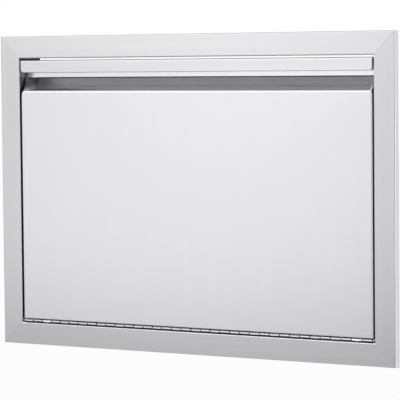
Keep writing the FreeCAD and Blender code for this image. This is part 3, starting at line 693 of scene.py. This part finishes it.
tackBead = {
    "length": 2.5, "depth": 0.85, "height": 0.85, "y": -0.9, "z": 0.8, "ripple": 0.03, "ripples": 5,
    "half": 2.0, "shift": 3.0,  # half a bead's length in the frame, and the left bead's move with the hinge
}
tackLow, tackHigh = cornersOf("hinge_tack_welds")


def beadShape(middle):
    # An egg whose skin is raised in even ripples along its length, as a bead freezes.
    lengthwise, ring = np.linspace(0, np.pi, 33), np.linspace(0, 2 * np.pi, 24, endpoint=False)
    along, around = np.meshgrid(lengthwise, ring, indexing="ij")
    ripple = 1 + tackBead["ripple"] * np.cos(2 * tackBead["ripples"] * along)
    reach = np.sin(along) * ripple
    x = middle - tackBead["length"] * np.cos(along)
    y = faceY + tackBead["y"] + tackBead["depth"] * reach * np.cos(around)
    z = -openZ + tackBead["z"] + tackBead["height"] * reach * np.sin(around)
    return closedTube(np.stack([x, y, z], axis=-1))


leftBead = tackLow[0] + tackBead["half"] + tackBead["shift"]
rightBead = tackHigh[0] - tackBead["half"]
tacks = joined([beadShape(leftBead), beadShape(rightBead)])
# The beads' pale tone is partly a painted highlight.
newPiece("hinge_tack_beads", tacks, weldHighlight, "frame", ["hinge_tack_welds"])
print("hinge ready")


# Behind the frame's face: gussets, stop angles, bumpers and the magnetic catches.

gusset = {"outerRound": 3.0, "innerRound": 2.0, "legRound": 4.0, "edge": 0.3}


def gussetShape(node, side, end):
    # L outline: both legs run from the outer corner and are as wide as the flat of the frame's face.
    low, high = cornersOf(node)
    outerX, legX = np.sort(np.abs([low[0], high[0]]))[::-1]
    outerZ, legZ = np.sort(np.abs([low[2], high[2]]))[::-1]
    width = halfWidth - openX - 2 * (halfWidth - outerX)
    outline = np.array([
        (outerX, outerZ), (legX, outerZ), (legX, outerZ - width),
        (outerX - width, outerZ - width), (outerX - width, legZ), (outerX, legZ),
    ]) * (side, end)
    leg = gusset["legRound"]
    loop = roundedLoop(outline, [gusset["outerRound"], leg, leg, gusset["innerRound"], leg, leg])
    return closedTube(placed(loop, (0, 2, 1), (low[1], high[1])))


stopAngle = {"gauge": 1.5, "outsideBend": 2.5, "insideBend": 1.0, "edge": 0.25}


def stopShape(node, side):
    # L section with a rounded bend, carried from the bottom jamb up to the catch.
    low, high = cornersOf(node)
    jamb, reach = np.sort(np.abs([low[0], high[0]]))[::-1]
    gauge = stopAngle["gauge"]
    section = np.array([
        (jamb, low[1]), (reach, low[1]), (reach, low[1] + gauge),
        (jamb - gauge, low[1] + gauge), (jamb - gauge, high[1]), (jamb, high[1]),
    ]) * (side, 1)
    loop = roundedLoop(section, [stopAngle["outsideBend"], 0, 0, stopAngle["insideBend"], 0, 0])
    return closedTube(placed(loop, (0, 1, 2), (low[2], high[2])))


bumper = {"rim": 0.5, "foot": 0.15}


def bumperShape(node):
    # Short upright rim, then half an ellipse to the tip, turned about the door's depth.
    low, high = cornersOf(node)
    radius, height, rim = (high[0] - low[0]) / 2, high[1] - low[1], bumper["rim"]
    turn = np.linspace(0, np.pi / 2, 10)
    dome = np.stack([radius * np.cos(turn), -rim - (height - rim) * np.sin(turn)], axis=-1)
    foot = [(0, 0), (radius - bumper["foot"], 0), (radius, -bumper["foot"])]
    centre = ((low[0] + high[0]) / 2, high[1], (low[2] + high[2]) / 2)
    return turnedShape(np.concatenate([foot, dome]), centre, 1, 36)


catchBody = {
    "wall": 2.0, "ear": 3.0, "play": 0.1, "cornerRound": 1.2, "edge": 0.35, "drill": 5.0,
    "magnetRound": 0.8, "poleRound": 1.0, "barEdge": 0.2,
}


def housingShape(low, high, side, blockLow, blockHigh):
    # Block with an ear above and below it on the jamb, as deep as its node.
    jamb, inner = np.sort(np.abs([low[0], high[0]]))[::-1]
    earFace = jamb - catchBody["ear"]
    outline = np.array([
        (jamb, low[2]), (earFace, low[2]), (earFace, blockLow), (inner, blockLow),
        (inner, blockHigh), (earFace, blockHigh), (earFace, high[2]), (jamb, high[2]),
    ]) * (side, 1)
    corner = catchBody["cornerRound"]
    loop = roundedLoop(outline, [0, corner, corner, corner, corner, corner, corner, 0])
    return closedTube(placed(loop, (0, 2, 1), (low[1], high[1])))


def barShape(low, high, corner):
    # Bar with its outline rounded, seen from the side.
    outline = [(low[1], low[2]), (high[1], low[2]), (high[1], high[2]), (low[1], high[2])]
    return closedTube(placed(roundedLoop(outline, corner), (1, 2, 0), (low[0], high[0])))


def boxShape(low, high):
    outline = np.array([(low[0], low[2]), (high[0], low[2]), (high[0], high[2]), (low[0], high[2])])
    return closedTube(placed(outline, (0, 2, 1), (low[1], high[1])))


def magneticCatch(hand, side):
    low, high = cornersOf(hand + "_catch_housing")
    poleLow = np.minimum(*(cornersOf(f"{hand}_catch_{pole}_pole")[0] for pole in ("inner", "outer")))
    poleHigh = np.maximum(*(cornersOf(f"{hand}_catch_{pole}_pole")[1] for pole in ("inner", "outer")))
    play, wall = catchBody["play"], catchBody["wall"] + catchBody["play"]
    shape = housingShape(low, high, side, poleLow[2] - wall, poleHigh[2] + wall)
    housing = newPiece(hand + "_catch_moulding", shape, catchPlastic, "frame", [hand + "_catch_housing"])
    pocketLow, pocketHigh = poleLow - play, poleHigh + play
    pocketHigh[1] = poleHigh[1]
    hole, drill = railSheet["catchHole"], catchBody["drill"]
    holes = [roundBar((side * openX, screwY, z), 0, hole, drill) for z in screwZ]
    cutAway(housing, [boxShape(pocketLow, pocketHigh)] + holes)
    softenEdges(housing, catchBody["edge"], 3)
    for part, finish, slotName, corner in (
            ("magnet", magnetFerrite, "magnet", catchBody["magnetRound"]),
            ("inner_pole", platedSteel, "plated_steel", catchBody["poleRound"]),
            ("outer_pole", platedSteel, "plated_steel", catchBody["poleRound"])):
        node = f"{hand}_catch_{part}"
        bar = newPiece(node + "_bar", barShape(*cornersOf(node), corner), finish, "frame", [node])
        softenEdges(bar, catchBody["barEdge"])


strikePlate = {"clip": 2.0, "clipRound": 0.6, "edge": 0.2}


def strikeShape(node):
    # Rectangle with its corners clipped, in the door's plane.
    low, high = cornersOf(node)
    clip = strikePlate["clip"]
    outline = [
        (low[0] + clip, low[2]), (high[0] - clip, low[2]),
        (high[0], low[2] + clip), (high[0], high[2] - clip),
        (high[0] - clip, high[2]), (low[0] + clip, high[2]),
        (low[0], high[2] - clip), (low[0], low[2] + clip),
    ]
    loop = roundedLoop(outline, strikePlate["clipRound"], 3)
    return closedTube(placed(loop, (0, 2, 1), (low[1], high[1])))


catchScrew = {
    "headCorner": 3.4, "headHeight": 1.9, "chamfer": 0.45, "crown": 0.25, "past": 0.1,
    "shank": 1.7, "thread": 0.22, "pitch": 0.8, "point": 1.2,
}


def screwShape(side, y, z):
    # Head: the lesser of a hexagon's radius and that of a cone over its top. Shank: a radius that swings
    # with the place along it plus the turn, which makes a thread, and closes to a blunt point.
    turn = np.linspace(0, 2 * np.pi, 48, endpoint=False)
    flat = catchScrew["headCorner"] * math.cos(math.pi / 6)
    hexagon = flat / np.cos(np.mod(turn, np.pi / 3) - np.pi / 6)
    headTop = catchScrew["headHeight"]
    headPlace = np.array([headTop, headTop, headTop - catchScrew["chamfer"], 0.0])
    past = catchScrew["headCorner"] + catchScrew["past"]
    cone = np.array([0.0, flat - catchScrew["crown"], past, past])
    head = np.minimum(hexagon[None, :], cone[:, None])
    jamb = max(abs(screwLow[0]), abs(screwHigh[0]))
    earFace = openX - catchBody["ear"]
    along = np.linspace(0, jamb - earFace, 60)
    swing = np.cos(2 * np.pi * along[:, None] / catchScrew["pitch"] - turn)
    shank = catchScrew["shank"] - catchScrew["thread"] * (1 - swing) / 2
    toPoint = np.clip((along[-1] - along) / catchScrew["point"], 0, 1)[:, None]
    shank = shank * np.sqrt(toPoint)
    radius = np.concatenate([head, shank])
    place = earFace + np.concatenate([-headPlace, along])
    rings = np.empty((*radius.shape, 3))
    rings[:, :, 0] = side * place[:, None]
    rings[:, :, 1] = y + radius * np.cos(turn)
    rings[:, :, 2] = z + radius * np.sin(turn)
    return closedTube(rings)


screwLow, screwHigh = cornersOf("catch_screws")
screws = [screwShape(side, screwY, z) for side in (-1, 1) for z in screwZ]
newPiece("catch_screws_hexagon", joined(screws), platedSteel, "frame", ["catch_screws"])
for hand, side in (("left", -1), ("right", 1)):
    magneticCatch(hand, side)
    node = hand + "_strike_plate"
    strike = newPiece(node + "_sheet", strikeShape(node), platedSteel, "door", [node])
    softenEdges(strike, strikePlate["edge"])
    node = hand + "_stop_angle"
    angle = newPiece(node + "_bent", stopShape(node, side), innerSteel, "frame", [node])
    softenEdges(angle, stopAngle["edge"])
    for endName, end in (("bottom", -1), ("top", 1)):
        node = f"{endName}_{hand}_gusset"
        shape = gussetShape(node, side, end)
        plate = newPiece(node + "_plate", shape, innerSteel, "frame", [node])
        softenEdges(plate, gusset["edge"])
        node = f"{endName}_{hand}_bumper"
        newPiece(node + "_dome", bumperShape(node), bumperRubber, "frame", [node])
print("inner pieces ready")


# Studio: a white world and floor, a graded panel at the front left, and plain cards that only shape the
# reflections. All lengths here are in metres.

studio = {
    "worldLevel": 0.9, "floorZ": -0.55, "floorReach": 14.0,
    "floorTone": 0.9, "floorRough": 0.9, "floorWhite": 0.88,  # the rest of the floor's tone is its shadow
}


def whiteForView(tree, plain, white):
    # Mixes in the white for camera, glossy and transmission rays.
    path = tree.nodes.new("ShaderNodeLightPath")
    first = tree.nodes.new("ShaderNodeMath")
    second = tree.nodes.new("ShaderNodeMath")
    first.operation = second.operation = "MAXIMUM"
    tree.links.new(path.outputs["Is Camera Ray"], first.inputs[0])
    tree.links.new(path.outputs["Is Glossy Ray"], first.inputs[1])
    tree.links.new(first.outputs["Value"], second.inputs[0])
    tree.links.new(path.outputs["Is Transmission Ray"], second.inputs[1])
    mix = tree.nodes.new("ShaderNodeMixShader")
    tree.links.new(second.outputs["Value"], mix.inputs["Fac"])
    tree.links.new(plain, mix.inputs[1])
    tree.links.new(white, mix.inputs[2])
    return mix.outputs["Shader"]


def makeWorld(level):
    world = bpy.data.worlds.new("studioWorld")
    world.use_nodes = True
    tree = world.node_tree
    light = tree.nodes["Background"]
    light.inputs["Color"].default_value = (1, 1, 1, 1)
    light.inputs["Strength"].default_value = level
    white = tree.nodes.new("ShaderNodeBackground")
    white.inputs["Color"].default_value = (1, 1, 1, 1)
    white.inputs["Strength"].default_value = 1.0
    shown = whiteForView(tree, light.outputs["Background"], white.outputs["Background"])
    tree.links.new(shown, tree.nodes["World Output"].inputs["Surface"])
    scene.world = world


def flatSheet(name, corners, material):
    mesh = bpy.data.meshes.new(name)
    mesh.from_pydata(corners, [], [list(range(len(corners)))])
    mesh.materials.append(material)
    sheet = bpy.data.objects.new(name, mesh)
    scene.collection.objects.link(sheet)
    return sheet


def floorFinish():
    material, tree, shader = newFinish("paleFloor", Roughness=studio["floorRough"])
    shader.inputs["Base Color"].default_value = (*[studio["floorTone"]] * 3, 1)
    white = tree.nodes.new("ShaderNodeEmission")
    share = tree.nodes.new("ShaderNodeMixShader")
    share.inputs["Fac"].default_value = studio["floorWhite"]
    tree.links.new(shader.outputs["BSDF"], share.inputs[1])
    tree.links.new(white.outputs["Emission"], share.inputs[2])
    shown = whiteForView(tree, shader.outputs["BSDF"], share.outputs["Shader"])
    tree.links.new(shown, tree.nodes["Material Output"].inputs["Surface"])
    return material


def gradedLight(name, shade):
    # Emission of a soft panel over its own x and z: it rises with height, more and more steeply, and
    # falls off to both sides, the more so the higher up.
    material = bpy.data.materials.new(name)
    material.use_nodes = True
    tree = material.node_tree
    tree.nodes.clear()
    place = tree.nodes.new("ShaderNodeTexCoord")
    split = tree.nodes.new("ShaderNodeSeparateXYZ")
    tree.links.new(place.outputs["Object"], split.inputs["Vector"])

    def combined(first, second, third):
        # first * second + third, each of them a number or an output
        node = tree.nodes.new("ShaderNodeMath")
        node.operation = "MULTIPLY_ADD"
        for socket, value in zip(node.inputs, (first, second, third)):
            if isinstance(value, (int, float)):
                socket.default_value = value
            else:
                tree.links.new(value, socket)
        return node.outputs["Value"]

    across = combined(split.outputs["X"], 1.0, -shade["middle"])
    height = split.outputs["Z"]
    sides = combined(across, -shade["sideFall"], shade["lean"])
    ground = combined(across, sides, shade["level"])
    rise = combined(across, shade["twist"], shade["rise"])
    bow = combined(across, combined(across, -shade["fan"], shade["sway"]), shade["bow"])
    curve = combined(height, shade["steepen"], bow)
    slant = combined(height, curve, rise)
    strength = combined(height, slant, ground)
    bound = tree.nodes.new("ShaderNodeClamp")
    bound.inputs["Min"].default_value = shade["least"]
    bound.inputs["Max"].default_value = shade["most"]
    tree.links.new(strength, bound.inputs["Value"])
    light = tree.nodes.new("ShaderNodeEmission")
    tree.links.new(bound.outputs["Result"], light.inputs["Strength"])
    output = tree.nodes.new("ShaderNodeOutputMaterial")
    tree.links.new(light.outputs["Emission"], output.inputs["Surface"])
    return material


def plainLight(name, level):
    material = bpy.data.materials.new(name)
    material.use_nodes = True
    tree = material.node_tree
    tree.nodes.clear()
    light = tree.nodes.new("ShaderNodeEmission")
    light.inputs["Strength"].default_value = level
    output = tree.nodes.new("ShaderNodeOutputMaterial")
    tree.links.new(light.outputs["Emission"], output.inputs["Surface"])
    return material


def studioCard(name, corners, material):
    # A panel or flag that only the reflections show.
    card = flatSheet(name, corners, material)
    card.visible_camera = False
    card.visible_shadow = False


makeWorld(studio["worldLevel"])
reach, level = studio["floorReach"], studio["floorZ"]
floorCorners = [
    (-reach, -reach, level), (reach, -reach, level), (reach, reach, level), (-reach, reach, level),
]
flatSheet("floor", floorCorners, floorFinish())

frontPanel = {
    "left": -2.4, "right": 0.16, "bottom": -0.54, "top": 1.28, "y": -1.02, "middle": -0.62,
    "level": 1.150, "lean": 0.175, "sideFall": 0.190,
    "rise": 0.001, "twist": 0.439, "bow": 0.113, "steepen": 3.646, "fan": 2.2, "sway": -0.4,
    "least": 0.2, "most": 2.1,
}


def uprightCard(name, card, material):
    left, right, bottom, top, y = (card[key] for key in ("left", "right", "bottom", "top", "y"))
    studioCard(name, [(left, y, bottom), (right, y, bottom), (right, y, top), (left, y, top)], material)


uprightCard("front_panel", frontPanel, gradedLight("frontPanelLight", frontPanel))
viewFlag = {"left": 0.18, "right": 1.35, "bottom": -0.54, "top": 0.95, "y": -1.02, "level": 0.35}
uprightCard("view_flag", viewFlag, plainLight("viewFlagLight", viewFlag["level"]))
backFlag = {"left": -0.335, "right": -0.2, "bottom": 0.19, "top": 0.26, "y": 0.12, "level": 0.02}
uprightCard("back_flag", backFlag, plainLight("backFlagLight", backFlag["level"]))


def levelCard(name, card):
    left, right, front, back, z = (card[key] for key in ("left", "right", "front", "back", "z"))
    corners = [(left, front, z), (right, front, z), (right, back, z), (left, back, z)]
    studioCard(name, corners, plainLight(name + "_light", card["level"]))


topFlag = {"left": -1.9, "right": -0.97, "front": -0.45, "back": 0.05, "z": 1.3, "level": 0.05}
levelCard("top_flag", topFlag)
slopePanel = {"left": -0.97, "right": 0.5, "front": -0.45, "back": 0.05, "z": 1.3, "level": 0.275}
levelCard("slope_panel", slopePanel)
lowFlag = {"left": -2.4, "right": 0.6, "front": -1.02, "back": 0.02, "z": -0.53, "level": 0.30}
levelCard("low_flag", lowFlag)


def sideCard(name, card):
    front, back, bottom, top, x = (card[key] for key in ("front", "back", "bottom", "top", "x"))
    corners = [(x, front, bottom), (x, back, bottom), (x, back, top), (x, front, top)]
    studioCard(name, corners, plainLight(name + "_light", card["level"]))


leftFlag = {"front": -1.02, "back": 0.8, "bottom": -0.54, "top": 1.28, "x": -2.4, "level": 0.5}
sideCard("left_flag", leftFlag)
rightPanel = {"front": -0.95, "back": 0.25, "bottom": -0.5, "top": 0.6, "x": 1.5, "level": 1.7}
sideCard("right_panel", rightPanel)


def addCamera(place, yaw, pitch, roll, lens):
    yaw, pitch, roll = math.radians(yaw), math.radians(pitch), math.radians(roll)
    forward = Vector((-math.sin(yaw) * math.cos(pitch), math.cos(yaw) * math.cos(pitch), math.sin(pitch)))
    level = Vector((math.cos(yaw), math.sin(yaw), 0))
    upright = level.cross(forward)
    right = math.cos(roll) * level + math.sin(roll) * upright
    up = math.cos(roll) * upright - math.sin(roll) * level
    data = bpy.data.cameras.new("photoCamera")
    data.lens = lens
    data.sensor_width = 36.0  # millimetres
    camera = bpy.data.objects.new("photoCamera", data)
    turn = Matrix((right, up, -forward)).transposed().to_4x4()
    camera.matrix_world = Matrix.Translation(place) @ turn
    scene.collection.objects.link(camera)
    scene.camera = camera


addCamera(place=(2.0118, -3.2951, 0.2179), yaw=31.23, pitch=-3.37, roll=-0.52, lens=209.3)
scene.view_settings.view_transform = "Standard"
print("studio ready")
